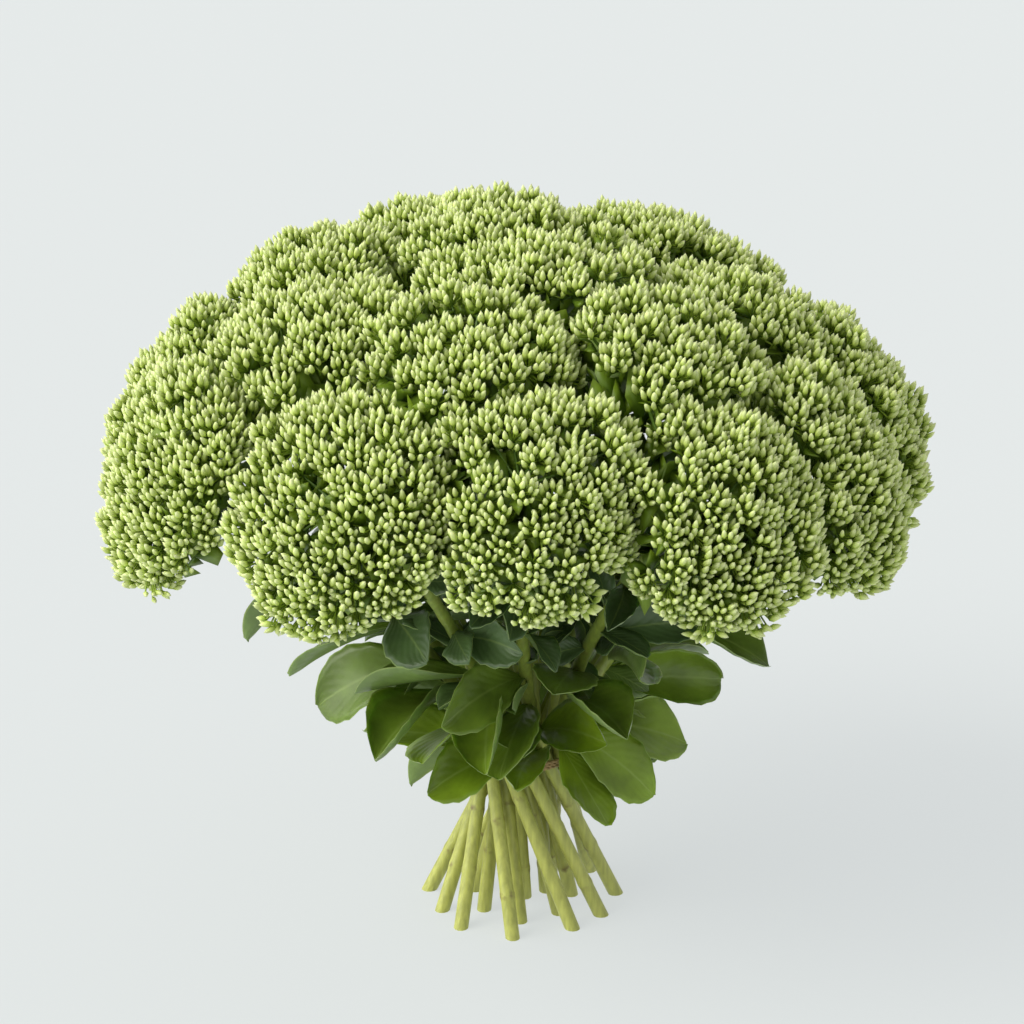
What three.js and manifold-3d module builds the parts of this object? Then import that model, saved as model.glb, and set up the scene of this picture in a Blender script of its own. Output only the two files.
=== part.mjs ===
// A hand-tied bunch of cut showy stonecrop in green bud, standing on its cut ends.
// Twenty stems cross in a spiral at a tie, stand on the surface on flat cut ends, and spread above the tie
// into one domed head of buds. Millimetres, +Z up. The origin is the middle of the centre stem's cut end.
import * as THREE from "three";
import { ConvexHull } from "three/addons/math/ConvexHull.js";
import { mergeVertices } from "three/addons/utils/BufferGeometryUtils.js";
import Module from "manifold-3d";

const wasm = await Module();
wasm.setup();

// The dome that the flower heads make: half of a flattened globe.
const DOME = { centreX: -6, centreZ: 236, halfWidth: 218, height: 153 };

// One flower head: a flattened cushion of bud clusters on the top of its stem.
const HEAD = {
  radius: 61,
  crown: 33, // from the widest level up to the middle of the crown
  underside: 17, // from the widest level down to the flat that sits on the stem
  clusters: 58, // bud clusters, drawn larger than life
  clusterRise: 3.5,
  creviceDepth: 5,
  spread: 100, // degrees from the crown's middle that the clusters reach
  lobes: 6, // side branches round a middle one
  lobeAngle: 56, // degrees from the crown's middle to a side branch
  lobeRise: 4,
  hem: { angle: 128, points: 9 }, // where the clusters end and the stalks below them begin
  seat: { angle: 174, points: 6 },
  gap: 0.5, // between two heads that press on each other
  creviceInset: 2.5, // how much further apart the crevices of two heads stay
};

// A stem: cut flat at the foot, straight up to the tie, then arching out to its head.
const STEM = {
  footRadius: 4.1,
  tieRadius: 3.7,
  topRadius: 2.7,
  tieHeight: 94,
  sides: 7,
  steps: 12,
  straightReach: 34, // how far it keeps its slope past the tie
  headReach: 66, // how far it runs straight into its head
  seatGap: 0.3,
  cutAllowance: 8, // how far it runs below the surface before it is cut there
};

const TIE_RING = 21; // from the axis to the outer stems at the tie
const PRESSED = 2 * STEM.tieRadius + 0.1; // between the middles of two stems that press on each other
const SIDEWAYS_LEAN = 0.88; // leaning stems press on each other sooner than upright ones

// The three rings of stems. Each foot is [degrees round the bunch, distance from the middle]. Each head is
// [degrees round the bunch, degrees down from the dome's top, distance that it stands proud of the dome].
// Each leaf is [share of the way from the tie to the head, length].
const RINGS = [
  {
    firstTurn: 202,
    feet: [
      [262, 48], [305, 45], [333, 47], [5, 51], [41, 49], [74, 49],
      [106, 48], [135, 48], [170, 54], [199, 48], [226, 50],
    ],
    heads: [
      [170, 66, 6], [206, 70, 8], [243, 65, 2], [271, 59, 0], [302, 66, 2], [333, 69, -3],
      [4, 69, 4], [38, 66, -9], [70, 64, 0], [104, 64, 0], [138, 66, -2],
    ],
    leaves: [[0.05, 58], [0.14, 66], [0.27, 74], [0.37, 64], [0.5, 54], [0.68, 42]],
  },
  {
    firstTurn: 150,
    feet: [[214, 27], [265, 29], [314, 27], [6, 26], [58, 28], [110, 27], [163, 29]],
    heads: [[110, 34, 9], [158, 36, 3], [210, 40, 0], [258, 36, 0], [306, 38, 0], [356, 40, -6], [47, 36, 6]],
    leaves: [[0.16, 54], [0.28, 52], [0.42, 48], [0.58, 42], [0.78, 34]],
  },
  {
    firstTurn: 150,
    feet: [[150, 0], [30, 14]],
    heads: [[100, 10, 2], [290, 10, 0]],
    leaves: [[0.55, 42], [0.75, 34]],
  },
];

// Large leaves that stand out at the bunch's sides, by the number of the stem that they grow on. Each is
// [share of the way from the tie to the head, length, turn round the stem, degrees off the stem, roll].
const SIDE_LEAVES = {
  2: [
    [0.08, 74, -60, 60, -30], [0.38, 76, -35, 72, -15], [0.48, 64, -15, 60, 0],
    [0.64, 64, -15, 62, 10], [0.9, 46, -30, 84, 0],
  ],
  5: [[0.06, 52, -30, 100, 0], [0.14, 62, 22, 116, 0]],
  6: [[0.3, 74, 25, 60, 30], [0.52, 70, 20, 66, -15], [0.74, 60, 30, 72, -10]],
  7: [[0.08, 74, -35, 66, 10]],
};

// A leaf: a thick, cupped, arched blade, widest past its middle, with a few blunt teeth.
const LEAF = {
  widthShare: 0.3, // half width over length
  thickness: 1.7,
  cup: 0.32, // how far the edges rise, over the half width
  rings: [0.15, 0.36, 0.56, 0.73, 0.89],
  toothShare: 0.07,
  arch: 34, // degrees that it bends down from base to tip
  pitchOut: 40, // degrees off its stem, for a leaf that faces out of the bunch
  pitchAside: 64, // the same for one at the stem's side
  roll: 20,
  rootDepth: 1, // how far behind the middle of the stem it starts
  clearance: 0.6,
  turns: [-58, 52, -4, -92, 88, -30], // round the stem, from facing out of the bunch
  // Where something is in its way, a leaf tries these extra degrees of turn and pitch, in this order.
  bends: [
    [0, 0], [14, 6], [-14, 6], [28, 0], [-28, 0], [0, -16], [0, 16], [40, 10],
    [-40, 10], [18, -22], [-18, -22], [58, 0], [-58, 0], [25, 26], [-25, 26],
  ],
};

const TIE = {
  turns: 3,
  thickness: 2.2,
  inner: TIE_RING + STEM.tieRadius + 0.8,
  level: STEM.tieHeight - 3,
  segments: 22,
  knot: 4,
};

const COLOURS = { leafyStem: 0x6f8f4c, head: 0xb3c681, tie: 0xa98f5f };
const ROUGHNESS = { leafyStem: 0.45, head: 0.55, tie: 0.85 };

const GOLDEN_ANGLE = 137.508;
const UP = new THREE.Vector3(0, 0, 1);
const radians = THREE.MathUtils.degToRad;

// A steady spread of values from -1 to 1, so that no two leaves are quite alike.
function vary(index, kind) {
  const share = 0.618034 * (index + 1) + 0.754878 * (kind + 1);
  return 2 * (share - Math.floor(share)) - 1;
}

function polar(radius, degrees, z) {
  return new THREE.Vector3(radius * Math.cos(radians(degrees)), radius * Math.sin(radians(degrees)), z);
}

function angleBetween(a, b) {
  return Math.abs(((a - b + 540) % 360) - 180);
}

// The solid inside a closed geometry, whichever way its faces were wound.
function solidOf(geometry) {
  geometry.deleteAttribute("normal");
  geometry.deleteAttribute("uv");
  const merged = mergeVertices(geometry, 1e-4);
  const vertProperties = new Float32Array(merged.attributes.position.array);
  const triVerts = new Uint32Array(merged.index.array);
  const solid = new wasm.Manifold(new wasm.Mesh({ numProp: 3, vertProperties, triVerts }));
  if (solid.volume() > 0) return solid;
  triVerts.reverse();
  return new wasm.Manifold(new wasm.Mesh({ numProp: 3, vertProperties, triVerts }));
}

function geometryFrom(points, faces) {
  const geometry = new THREE.BufferGeometry();
  geometry.setAttribute("position", new THREE.Float32BufferAttribute(points.flatMap((p) => p.toArray()), 3));
  geometry.setIndex(faces.flat());
  return geometry;
}

function meshOf(name, solid, kind) {
  const { numProp, vertProperties, triVerts } = solid.getMesh();
  const geometry = new THREE.BufferGeometry();
  const positions = vertProperties.filter((_, i) => i % numProp < 3);
  geometry.setAttribute("position", new THREE.BufferAttribute(positions, 3));
  geometry.setIndex(new THREE.BufferAttribute(triVerts, 1));
  geometry.computeVertexNormals();
  const [color, roughness] = [COLOURS[kind], ROUGHNESS[kind]];
  const material = new THREE.MeshStandardMaterial({ color, roughness, metalness: 0 });
  const mesh = new THREE.Mesh(geometry, material);
  mesh.name = name;
  return mesh;
}

// Where a head sits on the dome: the way it faces, the middle of its widest level, and its seat on the stem.
function headPlace([turn, down, proud]) {
  const t = radians(down);
  const out = polar(1, turn, 0);
  const facing = out.clone().multiplyScalar(Math.sin(t) / DOME.halfWidth);
  facing.z = Math.cos(t) / DOME.height;
  facing.normalize();
  const level = out.clone().multiplyScalar(DOME.halfWidth * Math.sin(t));
  level.x += DOME.centreX;
  level.z = DOME.centreZ + DOME.height * Math.cos(t);
  level.addScaledVector(facing, proud - HEAD.crown);
  const seat = level.clone().addScaledVector(facing, -HEAD.underside);
  return { turn, facing, level, seat };
}

// How far from the axis a stem passes the tie when it presses on the nearest stem of the ring outside it.
function pressedRadius(turn, outside) {
  const apart = (stem) => angleBetween(stem.tieTurn, turn);
  const nearest = outside.reduce((a, b) => (apart(a) < apart(b) ? a : b));
  const off = radians(apart(nearest));
  const sideways = SIDEWAYS_LEAN * nearest.tieAt * Math.sin(off);
  return nearest.tieAt * Math.cos(off) - Math.sqrt(PRESSED ** 2 - sideways ** 2);
}

// Each stem's way from its foot on the surface, past the tie, to its seat under the head.
function layOutStems() {
  const stems = [];
  let outside = null;
  for (const ring of RINGS) {
    const placed = ring.heads.map((head, k) => {
      const tieTurn = ring.firstTurn + (360 / ring.heads.length) * k;
      const tieAt = outside ? pressedRadius(tieTurn, outside) : TIE_RING;
      const [footTurn, footAt] = ring.feet[k];
      return layOutStem(ring, stems.length + k, tieTurn, tieAt, polar(footAt, footTurn, 0), headPlace(head));
    });
    stems.push(...placed);
    outside = placed;
  }
  return stems;
}

function layOutStem(ring, index, tieTurn, tieAt, foot, head) {
  const crossing = polar(tieAt, tieTurn, STEM.tieHeight);
  const slope = crossing.clone().sub(foot).normalize();
  const top = head.seat.clone().addScaledVector(head.facing, -STEM.seatGap);
  const upper = new THREE.CubicBezierCurve3(
    crossing,
    crossing.clone().addScaledVector(slope, STEM.straightReach),
    top.clone().addScaledVector(head.facing, -STEM.headReach),
    top,
  );
  const below = foot.clone().addScaledVector(slope, -STEM.cutAllowance);
  const path = new THREE.CurvePath();
  path.add(new THREE.LineCurve3(below, crossing));
  path.add(upper);
  return { ring, index, tieTurn, tieAt, upper, path, head };
}

function stemRadius(z) {
  const { footRadius, tieRadius, topRadius, tieHeight } = STEM;
  if (z < tieHeight) return THREE.MathUtils.lerp(footRadius, tieRadius, z / tieHeight);
  const share = (z - tieHeight) / (DOME.centreZ - tieHeight);
  return THREE.MathUtils.lerp(tieRadius, topRadius, Math.min(1, share));
}

// A round bar bent along the stem's path, and cut flat where it meets the surface.
function stemSolid(stem) {
  const bar = new THREE.CylinderGeometry(1, 1, 1, STEM.sides, STEM.steps);
  const { normals, binormals } = stem.path.computeFrenetFrames(STEM.steps);
  const stations = stem.path.getSpacedPoints(STEM.steps);
  const position = bar.attributes.position;
  for (let i = 0; i < position.count; i++) {
    const step = Math.round((position.getY(i) + 0.5) * STEM.steps);
    const radius = stemRadius(stations[step].z);
    const point = stations[step].clone();
    point.addScaledVector(normals[step], position.getX(i) * radius);
    point.addScaledVector(binormals[step], position.getZ(i) * radius);
    position.setXYZ(i, ...point.toArray());
  }
  return solidOf(bar).trimByPlane([0, 0, 1], 0);
}

// Half the width of a leaf at a share of its length, as a share of its widest.
function leafOutline(t) {
  return Math.max(0.1, Math.sin(Math.PI * t ** 1.45) ** 0.7);
}

// A leaf's frame: its root in the stem, the way it runs, its upper side and its width.
function leafFrame(stem, along, turn, pitch, roll) {
  const root = stem.upper.getPoint(along);
  const growth = stem.upper.getTangent(along);
  const out = new THREE.Vector3(root.x, root.y, 0);
  out.addScaledVector(growth, -out.dot(growth)).normalize();
  const side = out.applyAxisAngle(growth, radians(turn));
  const p = radians(pitch);
  const run = growth.clone().multiplyScalar(Math.cos(p)).addScaledVector(side, Math.sin(p));
  const upper = growth.clone().multiplyScalar(Math.sin(p)).addScaledVector(side, -Math.cos(p));
  upper.applyAxisAngle(run, radians(roll));
  return { root, run, upper, across: run.clone().cross(upper) };
}

// The middle of the blade at a share t of its length: it arches down evenly.
function leafMiddle(frame, length, t) {
  const arch = radians(LEAF.arch);
  const forward = (length * Math.sin(arch * t)) / arch;
  const drop = (length * (1 - Math.cos(arch * t))) / arch;
  return frame.root.clone().addScaledVector(frame.run, forward).addScaledVector(frame.upper, -drop);
}

// The blade is a thin lens in section, grown by extra all round to test the room that it needs.
function leafSolid(frame, length, extra) {
  const points = [frame.root.clone().addScaledVector(frame.run, -LEAF.rootDepth)];
  LEAF.rings.forEach((t, row) => {
    const tooth = row > 1 ? LEAF.toothShare * (row % 2 ? -1 : 1) : 0;
    const halfWidth = LEAF.widthShare * length * leafOutline(t) * (1 + tooth) + extra;
    const halfThick = LEAF.thickness / 2 + extra;
    const bend = radians(LEAF.arch) * t;
    const upper = frame.upper.clone().multiplyScalar(Math.cos(bend));
    upper.addScaledVector(frame.run, Math.sin(bend));
    const middle = leafMiddle(frame, length, t);
    // Round the section: left edge, upper middle, right edge, lower middle.
    for (const side of [-1, 1]) {
      const edge = middle.clone().addScaledVector(frame.across, side * halfWidth);
      points.push(edge.addScaledVector(upper, LEAF.cup * halfWidth));
      points.push(middle.clone().addScaledVector(upper, -side * halfThick));
    }
  });
  points.push(leafMiddle(frame, length, 1));
  return solidOf(geometryFrom(points, leafFaces(points.length - 1)));
}

function leafFaces(tip) {
  const lastRow = LEAF.rings.length - 1;
  const at = (row, corner) => 1 + row * 4 + (corner % 4);
  const faces = [];
  for (let k = 0; k < 4; k++) {
    faces.push([0, at(0, k), at(0, k + 1)]);
    for (let row = 0; row < lastRow; row++) {
      const [a, b, c, d] = [at(row, k), at(row, k + 1), at(row + 1, k + 1), at(row + 1, k)];
      // The upper and the lower face of the blade are split alike.
      if (k % 2) faces.push([a, c, b], [a, d, c]);
      else faces.push([a, d, b], [b, d, c]);
    }
    faces.push([tip, at(lastRow, k + 1), at(lastRow, k)]);
  }
  return faces;
}

function touches(solid, others) {
  const box = solid.boundingBox();
  const near = (other) => [0, 1, 2].every((k) => box.min[k] <= other.max[k] && other.min[k] <= box.max[k]);
  return others.some((other) => near(other.boundingBox()) && solid.intersect(other).volume() > 1e-4);
}

// Grows a leaf, turned or bent clear of whatever already stands there, or none where there is no room.
function growLeaf(stem, { along, length, turn, pitchAt, roll }, obstacles) {
  for (const [turnBy, pitchBy] of LEAF.bends) {
    const frame = leafFrame(stem, along, turn + turnBy, pitchAt(turn + turnBy) + pitchBy, roll);
    if (!touches(leafSolid(frame, length, LEAF.clearance), obstacles)) return [leafSolid(frame, length, 0)];
  }
  return [];
}

function sideLeaves(stem) {
  return (SIDE_LEAVES[stem.index + 1] ?? []).map(([along, length, turn, pitch, roll]) => {
    return { along, length, turn, pitchAt: () => pitch, roll };
  });
}

function usualLeaves(stem) {
  return stem.ring.leaves.map(([along, usualLength], k) => {
    const pitchAt = (turn) => {
      const aside = Math.min(1, Math.SQRT2 * Math.abs(Math.sin(radians(turn) / 2)));
      return THREE.MathUtils.lerp(LEAF.pitchOut, LEAF.pitchAside, aside) + 9 * vary(stem.index * 5 + k, 4);
    };
    return {
      along,
      length: usualLength * (1 + 0.08 * vary(stem.index * 7 + k, 2)),
      turn: LEAF.turns[k] + 14 * vary(stem.index * 3 + k, 3),
      pitchAt,
      roll: LEAF.roll * vary(stem.index * 4 + k, 5),
    };
  });
}

// A unit direction, by its angle from the crown's middle and its turn round the head.
function direction(fromCrown, turn) {
  return polar(Math.sin(radians(fromCrown)), turn, Math.cos(radians(fromCrown)));
}

function ringOf({ angle, points }) {
  return Array.from({ length: points }, (_, k) => direction(angle, (360 / points) * k));
}

// The bud clusters, in the turning order in which a plant sets them.
function clusterDirections(head) {
  const outward = (k) => HEAD.spread * Math.sqrt((k + 0.5) / HEAD.clusters);
  return Array.from({ length: HEAD.clusters }, (_, k) => direction(outward(k), GOLDEN_ANGLE * k + head.turn));
}

function hullFaces(points) {
  const hull = new ConvexHull().setFromPoints(points);
  return hull.faces.map((face) => {
    const corners = [face.edge, face.edge.next, face.edge.next.next];
    return corners.map((edge) => points.indexOf(edge.head().point));
  });
}

// How near a direction is to the middle of a side branch: 1 at it, 0 between two.
function lobeShare(way, lobes) {
  const nearest = Math.min(...lobes.map((lobe) => lobe.angleTo(way)));
  return Math.max(0, 1 - (nearest / radians(HEAD.lobeAngle / 2)) ** 2);
}

// A head: a flattened globe whose upper side rises in pointed bud clusters with crevices between them.
function headSolid(head, heads) {
  const peaks = clusterDirections(head);
  const hem = ringOf(HEAD.hem);
  const crevices = hullFaces([...peaks, ...hem])
    .filter((face) => face.every((corner) => corner < peaks.length))
    .map((face) => face.reduce((sum, corner) => sum.add(peaks[corner]), new THREE.Vector3()).normalize());
  const lobes = [direction(0, 0)];
  for (let k = 0; k < HEAD.lobes; k++) {
    lobes.push(direction(HEAD.lobeAngle, (360 / HEAD.lobes) * k + head.turn));
  }
  const rises = [
    ...peaks.map((way) => HEAD.clusterRise + HEAD.lobeRise * lobeShare(way, lobes)),
    ...crevices.map((way) => -HEAD.creviceDepth + HEAD.lobeRise * lobeShare(way, lobes)),
  ];
  const ways = [...peaks, ...crevices, ...hem, ...ringOf(HEAD.seat)];
  const toHead = new THREE.Quaternion().setFromUnitVectors(UP, head.facing);
  const points = ways.map((way, i) => {
    const tall = way.z > 0 ? HEAD.crown : HEAD.underside;
    const point = new THREE.Vector3(way.x * HEAD.radius, way.y * HEAD.radius, way.z * tall);
    point.setLength(point.length() + (rises[i] ?? 0));
    point.applyQuaternion(toHead);
    giveWay(point, head, heads, i < peaks.length ? 0 : HEAD.creviceInset);
    return point.add(head.level);
  });
  return solidOf(geometryFrom(points, hullFaces(ways)));
}

// Pulls a point in to its own head's side of the plane half way to each neighbour.
function giveWay(point, head, heads, inset) {
  for (const other of heads) {
    if (other === head) continue;
    const towards = other.level.clone().sub(head.level);
    const limit = towards.length() / 2 - HEAD.gap / 2 - inset;
    const reach = point.dot(towards.normalize());
    if (reach > limit) point.multiplyScalar(limit / reach);
  }
}

// Turns of twine side by side, with a knot.
function tieSolid() {
  const { turns, thickness, inner, level, segments, knot } = TIE;
  const height = turns * thickness;
  const groove = inner + thickness * 0.62;
  const profile = [new THREE.Vector2(inner, 0), new THREE.Vector2(groove, 0)];
  for (let k = 0; k < turns; k++) {
    profile.push(new THREE.Vector2(inner + thickness, thickness * (k + 0.5)));
    profile.push(new THREE.Vector2(groove, thickness * (k + 1)));
  }
  profile.push(new THREE.Vector2(inner, height), profile[0].clone());
  const band = new THREE.LatheGeometry(profile, segments);
  band.rotateX(Math.PI / 2);
  band.translate(0, 0, level - height / 2);
  const lump = new THREE.SphereGeometry(knot, 8, 6);
  lump.scale(1.2, 0.7, 0.8);
  lump.translate(0, inner + thickness + 0.5, level);
  return solidOf(band).add(solidOf(lump));
}

const stems = layOutStems();
const heads = stems.map((stem) => stem.head);
const headSolids = heads.map((head) => headSolid(head, heads));
const stemSolids = stems.map(stemSolid);
const tie = tieSolid();
const bunch = new THREE.Group();
const blades = stems.map(() => []);
const leafySolids = [...stemSolids];
for (const leavesOf of [sideLeaves, usualLeaves]) {
  stems.forEach((stem, i) => {
    for (const leaf of leavesOf(stem)) {
      const obstacles = [...headSolids, tie, ...leafySolids.filter((_, other) => other !== i), ...blades[i]];
      const blade = growLeaf(stem, leaf, obstacles);
      blades[i].push(...blade);
      leafySolids[i] = blade.reduce((sum, solid) => sum.add(solid), leafySolids[i]);
    }
  });
}
stems.forEach((stem, i) => {
  const number = String(i + 1).padStart(2, "0");
  bunch.add(meshOf(`leafy_stem_${number}`, leafySolids[i], "leafyStem"));
  bunch.add(meshOf(`flower_head_${number}`, headSolids[i], "head"));
});
bunch.add(meshOf("twine_tie", tie, "tie"));

export default bunch;
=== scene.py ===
"""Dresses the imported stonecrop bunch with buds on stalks, thick toothed leaves, cut stems and a twine tie."""
import itertools
import random
from math import cos, exp, floor, pi, radians, sin, sqrt, tau

import bmesh
import bpy
import numpy as np
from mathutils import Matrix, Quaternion, Vector


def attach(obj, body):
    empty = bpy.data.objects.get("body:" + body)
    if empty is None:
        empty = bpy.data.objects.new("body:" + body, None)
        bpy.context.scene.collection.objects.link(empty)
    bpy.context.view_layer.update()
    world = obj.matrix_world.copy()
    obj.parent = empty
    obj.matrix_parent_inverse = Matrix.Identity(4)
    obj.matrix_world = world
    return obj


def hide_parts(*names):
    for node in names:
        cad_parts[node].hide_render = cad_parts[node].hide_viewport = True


bl_info = {
    "name": "Showy stonecrop bunch",
    "version": (1, 0, 0),
    "blender": (4, 5, 0),
    "location": "3D View > Sidebar > Bunch",
    "description": "Makes the buds, leaves, stems and twine of a tied bunch of stonecrop",
    "category": "Object",
}

MM = 0.001
GOLDEN_ANGLE = 137.508
UP = Vector((0, 0, 1))

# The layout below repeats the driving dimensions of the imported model, in millimetres and degrees.
DOME = {"centre_x": -6, "centre_z": 236, "half_width": 218, "height": 153}
HEAD = {"radius": 61, "crown": 33, "underside": 17, "cluster_rise": 3.5, "lobes": 6,
        "lobe_angle": 56, "lobe_rise": 4, "gap": 0.5}
STEM = {"foot_radius": 4.1, "tie_radius": 3.7, "top_radius": 2.7, "tie_height": 94, "straight_reach": 34,
        "head_reach": 66, "seat_gap": 0.3}
TIE_RING = 21
PRESSED = 2 * STEM["tie_radius"] + 0.1
SIDEWAYS_LEAN = 0.88
# Each foot is (turn, distance out), each head (turn, angle down from the top, distance proud of the dome),
# and each leaf (share of the way from the tie to the head, length).
RINGS = [
    {"first_turn": 202,
     "feet": [(262, 48), (305, 45), (333, 47), (5, 51), (41, 49), (74, 49), (106, 48), (135, 48), (170, 54),
              (199, 48), (226, 50)],
     "heads": [(170, 66, 6), (206, 70, 8), (243, 65, 2), (271, 59, 0), (302, 66, 2), (333, 69, -3),
               (4, 69, 4), (38, 66, -9), (70, 64, 0), (104, 64, 0), (138, 66, -2)],
     "leaves": [(0.05, 58), (0.14, 66), (0.27, 74), (0.37, 64), (0.5, 54), (0.68, 42)]},
    {"first_turn": 150,
     "feet": [(214, 27), (265, 29), (314, 27), (6, 26), (58, 28), (110, 27), (163, 29)],
     "heads": [(110, 34, 9), (158, 36, 3), (210, 40, 0), (258, 36, 0), (306, 38, 0), (356, 40, -6),
               (47, 36, 6)],
     "leaves": [(0.16, 54), (0.28, 52), (0.42, 48), (0.58, 42), (0.78, 34)]},
    {"first_turn": 150,
     "feet": [(150, 0), (30, 14)],
     "heads": [(100, 10, 2), (290, 10, 0)],
     "leaves": [(0.55, 42), (0.75, 34)]},
]
# Each side leaf is (share of the way from the tie to the head, length, turn round the stem, degrees off it,
# roll), under the number of its stem.
SIDE_LEAVES = {
    2: [(0.08, 74, -60, 60, -30), (0.38, 76, -35, 72, -15), (0.48, 64, -15, 60, 0), (0.64, 64, -15, 62, 10),
        (0.9, 46, -30, 84, 0)],
    5: [(0.06, 52, -30, 100, 0), (0.14, 62, 22, 116, 0)],
    6: [(0.3, 74, 25, 60, 30), (0.52, 70, 20, 66, -15), (0.74, 60, 30, 72, -10)],
    7: [(0.08, 74, -35, 66, 10)],
}
LEAF = {"width_share": 0.3, "cup": 0.32, "arch": 34, "pitch_out": 40, "pitch_aside": 64, "roll": 20,
        "grid": (21, 9),
        "turns": [-58, 52, -4, -92, 88, -30],
        "bends": [(0, 0), (14, 6), (-14, 6), (28, 0), (-28, 0), (0, -16), (0, 16), (40, 10), (-40, 10),
                  (18, -22), (-18, -22), (58, 0), (-58, 0), (25, 26), (-25, 26)]}
TIE = {"turns": 3, "thickness": 2.2, "inner": TIE_RING + STEM["tie_radius"] + 0.8,
       "level": STEM["tie_height"] - 3}

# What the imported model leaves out, in millimetres and degrees too. Bud mounds share a head's face evenly, and
# each grows out to the planes half way to the neighbouring heads or is pressed back from them. At a head's
# rim, between two angles from its crown, more mounds are bare, and the rest are longer, wider and thinner.
YOUNG = {"tries": 9, "lowest": 0.34, "step": 0.06, "pitch": (35, 75), "roll": (-35, 35), "length": (26, 40),
         "past_box": 5, "grid": (11, 5)}
MOUND = {"lift": (-6.5, 2.0), "reach": 26, "growth": 0.55, "pressed_from": 7, "overlap": 6}
RIM = {"start": 80, "end": 104, "bare": 0.6, "longer": 7, "deeper": 9, "wider": 0.35, "fewer": 0.5}
BRANCH = {"fork_out": 22, "fork_down": 6, "seat_down": 1.5, "limb": (2.3, 1.5), "twig": (1.4, 0.75),
          "under_hub": 0.6}
BUDS = {"missing": 0.04, "spread": (66, 72), "size": (0.82, 1.12), "uneven": (-1.4, 0.9), "astray": 0.16}
# Bracts are counted for each head, or for each mound's hub; sizes are shares of the bract length.
BRACTS = {"inside": 84, "inside_size": (0.8, 1.2), "depth": (0.5, 0.68), "collar": 14,
          "collar_size": (0.85, 1.15), "collar_out": 42, "hub": 3, "hub_size": (0.35, 0.55)}
# Where leaves were stripped off, as shares of the way up to the tie, and how far the scars swell the stem.
SCARS = {"places": (0.3, 0.68), "shift": 0.12, "width": 2.2, "swell": 0.35}
# The knot's scale, how far behind the turns it sits, and which way and how far each of its two ends hangs.
KNOT = {"size": 1.15, "behind": 1.6, "ends": ((-1, 24), (1, 19))}
# Each of some evenly packed points takes this share of the square of their spacing.
HEXAGONAL = 0.866
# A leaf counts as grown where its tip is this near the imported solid.
TIP_MATCH = 0.3
# What grows on a skeleton's point.
BUD, BRACT = 1.0, 2.0
# The Mix node's two colour inputs go by number, because other inputs share their names.
MIX_A, MIX_B = 6, 7
# How far the floor reaches each way, in millimetres, and the point that the camera looks at, in metres.
FLOOR_REACH = 40000
LOOKED_AT = Vector((-0.007, 0, 0.228))

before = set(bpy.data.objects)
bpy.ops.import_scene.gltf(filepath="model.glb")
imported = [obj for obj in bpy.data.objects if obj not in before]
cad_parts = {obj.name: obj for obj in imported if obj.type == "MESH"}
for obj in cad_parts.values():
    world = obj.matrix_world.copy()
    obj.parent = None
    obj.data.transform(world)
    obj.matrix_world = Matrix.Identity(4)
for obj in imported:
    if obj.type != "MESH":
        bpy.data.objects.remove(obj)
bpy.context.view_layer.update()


def linear(hex_colour):
    """Turns an sRGB hex colour into the linear values that Blender works in."""
    channels = [int(hex_colour[i:i + 2], 16) / 255 for i in (1, 3, 5)]
    return tuple(c / 12.92 if c <= 0.04045 else ((c + 0.055) / 1.055) ** 2.4 for c in channels)


def colour_property(name, description, hex_colour):
    return bpy.props.FloatVectorProperty(name=name, description=description, default=linear(hex_colour),
                                         subtype="COLOR", min=0, max=1)


def number_property(name, description, default, **more):
    return bpy.props.FloatProperty(name=name, description=description, default=default, **more)


def length_property(name, description, millimetres):
    return number_property(name, description, millimetres * MM, unit="LENGTH")


class BunchSizes(bpy.types.PropertyGroup):
    """Sizes of the parts that cover the bunch."""
    bud_length: length_property("Bud length", "From a bud's stalk to its tip", 6.9)
    bud_width: length_property("Bud width", "Across the widest part of a bud", 3.3)
    bud_spacing: length_property("Bud spacing", "The least distance between two buds' middles", 3.0)
    mound_spacing: length_property("Mound spacing", "From the top of one bud cluster to the next", 15.8)
    mound_radius: length_property("Mound radius", "How tightly a bud cluster's top is rounded", 10.3)
    mound_depth: length_property("Mound depth", "From a bud cluster's top to where its stalks meet", 15)
    stalk_thickness: length_property("Stalk thickness", "Across the stalk of one bud", 0.95)
    bract_length: length_property("Bract length", "The small leaves among a head's branches", 24)
    leaf_thickness: length_property("Leaf thickness", "Through a leaf beside its midrib", 1.5)
    tooth_depth: length_property("Tooth depth", "How far a leaf's blunt teeth stand out", 1.3)
    twine_thickness: length_property("Twine thickness", "Across the twine of the tie", 2.2)
    twine_lay: length_property("Twine lay", "Length of one turn of the twine's two strands", 6)
    buds_in_mound: bpy.props.IntProperty(name="Buds in a mound", description="Buds tried in each cluster",
                                         default=33, min=5, max=40)
    seed: bpy.props.IntProperty(name="Seed", description="Start of every random draw", default=11)


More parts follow.
